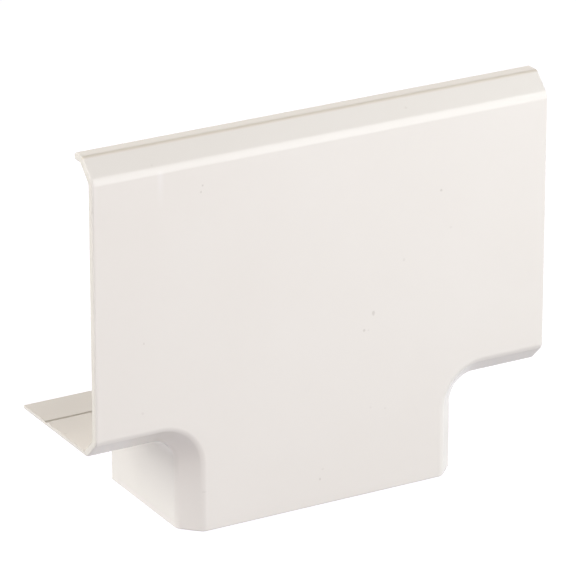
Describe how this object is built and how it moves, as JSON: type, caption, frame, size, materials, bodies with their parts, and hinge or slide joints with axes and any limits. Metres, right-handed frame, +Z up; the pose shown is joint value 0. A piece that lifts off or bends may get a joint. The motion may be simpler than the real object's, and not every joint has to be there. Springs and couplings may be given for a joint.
{
  "type": "trunking tee fitting",
  "caption": "Flat tee cover for wall trunking: a moulded shell whose front plate, sloped edges and side walls cap the joint of a straight run and a branch.",
  "frame": {"origin": "middle of the footprint, at the height of the leg's foot", "axes": "+X along the run, +Y from the front plate towards the wall of the room, +Z up, away from the leg"},
  "size_m": [0.1366, 0.0422, 0.1099],
  "materials": {
    "white_plastic": "glossy, slightly warm white moulded plastic"
  },
  "bodies": {
    "root": {"tee_cover": "white_plastic"}
  },
  "joints": []
}
